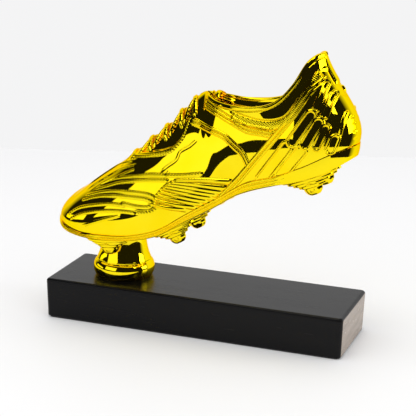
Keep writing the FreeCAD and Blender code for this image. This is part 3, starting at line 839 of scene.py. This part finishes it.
def make_tongue():
    """Arched padded plate with a rounded end and a lace loop on it."""
    stations = smooth_line(TONGUE, TONGUE_STEP)
    count = len(stations)
    angle = np.linspace(0, 2 * math.pi, 64, endpoint=False)
    rings = []
    for k, (x, z, lean, half) in enumerate(stations):
        to_end = (count - 1 - k) * TONGUE_STEP
        round_end = math.sqrt(max(1 - (1 - min(to_end / 5, 1)) ** 2, 0.02))
        half = half * round_end
        thick = 1.5 * max(round_end, 0.4)
        slope = math.radians(lean)
        along = np.array([math.cos(slope), 0, math.sin(slope)])
        up = np.array([-along[2], 0, along[0]])
        across = np.cos(angle) * half
        arch = -0.45 * across ** 2 / max(half, 1) - 0.9
        ribbing = 0.18 * math.cos(k * TONGUE_STEP * 2 * math.pi / 3)
        lift = np.sin(angle) * (thick + ribbing)
        middle = np.array([x, float(centre_line(x)), z])
        rings.append(middle + across[:, None] * np.array([0, 1, 0]) + (arch + lift)[:, None] * up)
    turn = np.linspace(0, 2 * math.pi, 40, endpoint=False)
    offset = np.stack([1.5 * np.sin(turn), 2.6 * np.cos(turn), 1.8 * np.sin(turn)], 1)
    loop = tube(np.array(LOOP_CENTRE) + offset, unit(offset), (-0.76, 0, 0.65), 0.6, 12)
    piece = joined("tongue", [add_rings("tongue", rings), add_rings("tongue_loop", loop, closed=True)])
    fit_piece(piece, ["tongue"], GOLD)


def skin_point(q, v):
    """Point and outward normal of the skin at one place."""
    near = skin(np.array([q - 0.3, q, q + 0.3]) % ROUND, np.clip([v - 0.005, v, v + 0.005], 0, 1))
    normal = unit(np.cross(near[2, 1] - near[0, 1], near[1, 2] - near[1, 0]))
    inside = np.array([near[1, 1, 0], centre_line(near[1, 1, 0]), near[1, 1, 2] - 25])
    return near[1, 1], normal * np.sign(normal @ (near[1, 1] - inside))


def ridge_place(x):
    """Distance round the boot at which the top line has a given x."""
    tops = LEFT[:, -1]
    seam = Q_LEFT <= STATIONS[TONGUE_RIB]
    return float(np.interp(x, tops[seam, 0], Q_LEFT[seam]))


def over_ridge(x, across):
    """Point and normal on the throat, across the middle line."""
    q = ridge_place(x)
    column = skin(np.array([q]), V_ROWS)[0]
    width = np.abs(column[:, 1] - centre_line(column[:, 0]))
    v = float(np.interp(-abs(across), -width[ROWS // 2:], V_ROWS[ROWS // 2:]))
    return skin_point(q if across < 0 else ROUND - q, min(v, 0.995))


LACE_REACH = 16.5
LACE_SLANT = 4.2
LACE_HALF_WIDTH = 1.6
LACE_HALF_THICKNESS = 0.8


def lace_strand(name, x, slant, lift):
    """Flat braided strand across the throat, sunk at both ends."""
    rings = []
    small = np.linspace(0, 2 * math.pi, 20, endpoint=False)[:, None]
    for k in np.linspace(-1, 1, 61):
        across = k * LACE_REACH
        point, normal = over_ridge(x + slant * k, across)
        ahead, _ = over_ridge(x + slant * k + 0.5, across)
        side = unit(ahead - point)
        height = lift + 0.5 * (1 - k * k) - 2.2 * smoothstep(0.82, 1.0, abs(k))
        braid = 1 + 0.1 * math.cos(k * LACE_REACH * 2 * math.pi / 1.7)
        rings.append(point + normal * height + LACE_HALF_WIDTH * braid * np.cos(small) * side
                     + LACE_HALF_THICKNESS * braid * np.sin(small) * normal)
    return add_rings(name, rings)


def make_laces():
    """Each lace is two strands that cross on the ridge."""
    for number, x in enumerate(LACE_PLACES, 1):
        name = "lace_%d" % number
        under = lace_strand(name, x, LACE_SLANT, -0.9)
        over = lace_strand(name + "_over", x, -LACE_SLANT, -0.1)
        lace = joined(name, [under, over])
        fit_piece(lace, [name], GOLD)


# ---- riser and base ------------------------------------------------------------------

# Riser from its foot up, as (radius, height above the base).
RISER = [(11, 0), (17.6, 0), (18.6, 0.7), (19.7, 2.6), (20.2, 5.2), (20.0, 7.6), (19.2, 9.7),
         (18.1, 10.9), (17.7, 11.3), (17.9, 11.8), (17.6, 12.4), (16.6, 15), (15.7, 18.2),
         (15.0, 22), (14.5, 26), (14.2, 30), (14.0, 33)]


def make_riser():
    """Turned riser whose top follows the sole's underside."""
    angle = np.linspace(0, 2 * math.pi, 128, endpoint=False)
    rings = []
    for radius, height in smooth_line(RISER, 0.35):
        top = np.minimum(BASE_TOP + height, sole_height(BOLT_X + radius * np.cos(angle)) - 0.02)
        rings.append(np.stack([BOLT_X + radius * np.cos(angle), radius * np.sin(angle), top], 1))
    riser = add_rings("riser", rings)
    fit_piece(riser, ["riser"], GOLD)


def keep_cad(names, material):
    """Shows CAD nodes as they are, with a material."""
    for name in names:
        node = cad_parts[name]
        node.data.materials.clear()
        node.data.materials.append(material)


# ---- stage ---------------------------------------------------------------------------

def make_floor():
    """Pale table top that ends not far from the trophy, so its edge shows in reflections."""
    material, _, shader = new_material("pale_floor")
    shader.inputs["Roughness"].default_value = 0.6
    shader.inputs["Specular IOR Level"].default_value = 0.2
    shader.inputs["Base Color"].default_value = (0.80, 0.80, 0.805, 1)
    bpy.ops.mesh.primitive_plane_add(size=1, location=(-0.05, -0.225, 0))
    floor = bpy.context.object
    floor.name = "floor"
    floor.scale = (0.96, 1.35, 1)
    floor.rotation_euler = (0, 0, CAMERA_YAW)
    floor.data.materials.append(material)


def make_world():
    """Pale room for the eye; in reflections it is dark, except for its far side."""
    world = bpy.data.worlds.new("studio")
    bpy.context.scene.world = world
    world.use_nodes = True
    tree = world.node_tree
    coordinates = tree.nodes.new("ShaderNodeTexCoord")
    axes = tree.nodes.new("ShaderNodeSeparateXYZ")
    tree.links.new(coordinates.outputs["Generated"], axes.inputs[0])
    behind = tree.nodes.new("ShaderNodeMapRange")
    behind.inputs["From Min"].default_value = 0.3
    behind.inputs["From Max"].default_value = 0.6
    tree.links.new(axes.outputs["Y"], behind.inputs["Value"])
    room = tree.nodes.new("ShaderNodeMixRGB")
    room.inputs[1].default_value = ROOM_DARK
    room.inputs[2].default_value = ROOM_PALE
    tree.links.new(behind.outputs["Result"], room.inputs[0])
    path = tree.nodes.new("ShaderNodeLightPath")
    seen = tree.nodes.new("ShaderNodeMixRGB")
    seen.inputs[1].default_value = BACKDROP
    tree.links.new(path.outputs["Is Glossy Ray"], seen.inputs[0])
    tree.links.new(room.outputs["Color"], seen.inputs[2])
    tree.links.new(seen.outputs["Color"], tree.nodes["Background"].inputs["Color"])


def add_softbox(name, place, target, width, height, power):
    """Rectangular light that faces a point."""
    light = bpy.data.lights.new(name, "AREA")
    light.shape = "RECTANGLE"
    light.size = width
    light.size_y = height
    light.energy = power
    lamp = bpy.data.objects.new(name, light)
    bpy.context.scene.collection.objects.link(lamp)
    lamp.location = place
    lamp.rotation_euler = (Vector(target) - Vector(place)).to_track_quat("-Z", "Y").to_euler()


def make_camera():
    """Camera at the photograph's viewing angle."""
    right = Vector((0.94065, 0.33872, 0.02134))
    up = Vector((-0.11097, 0.24754, 0.96250))
    forward = Vector((-0.32074, 0.90774, -0.27043))
    data = bpy.data.cameras.new("camera")
    data.lens = 119.3
    data.sensor_width = 36
    camera = bpy.data.objects.new("camera", data)
    bpy.context.scene.collection.objects.link(camera)
    turn = Matrix((right, up, -forward)).transposed().to_4x4()
    camera.matrix_world = Matrix.Translation((0.2838, -0.80065, 0.3166)) @ turn
    bpy.context.scene.camera = camera


# ---- scene ---------------------------------------------------------------------------

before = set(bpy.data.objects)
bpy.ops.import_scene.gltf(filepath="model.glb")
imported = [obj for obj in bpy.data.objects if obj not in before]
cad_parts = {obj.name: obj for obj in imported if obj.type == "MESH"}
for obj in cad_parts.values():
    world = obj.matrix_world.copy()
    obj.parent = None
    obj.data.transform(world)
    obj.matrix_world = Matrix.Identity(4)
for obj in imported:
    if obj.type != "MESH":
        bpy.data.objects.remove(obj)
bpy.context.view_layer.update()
bpy.context.scene.view_settings.view_transform = "Standard"

make_uppers()
make_cage()
make_heel_tab()
make_sole()
for stud_name, stud_x, stud_y, stud_lean, stud_size in STUDS:
    for suffix, side in (("_left", -1), ("_right", 1)):
        root_y = side * stud_y + float(centre_line(stud_x))
        make_stud(stud_name + suffix, stud_x, root_y, stud_lean, stud_size)
make_tongue()
make_laces()
make_riser()
keep_cad(["base_block"], LACQUER)
keep_cad(["base_pad"], FOAM)
keep_cad(["insole"], GOLD)
keep_cad(["clamp_bolt", "spring_washer", "flat_washer", "captive_nut"], ZINC)
keep_cad(["mount_boss"], PLASTIC)

make_floor()
make_world()
for softbox in SOFTBOXES:
    add_softbox(*softbox)
make_camera()
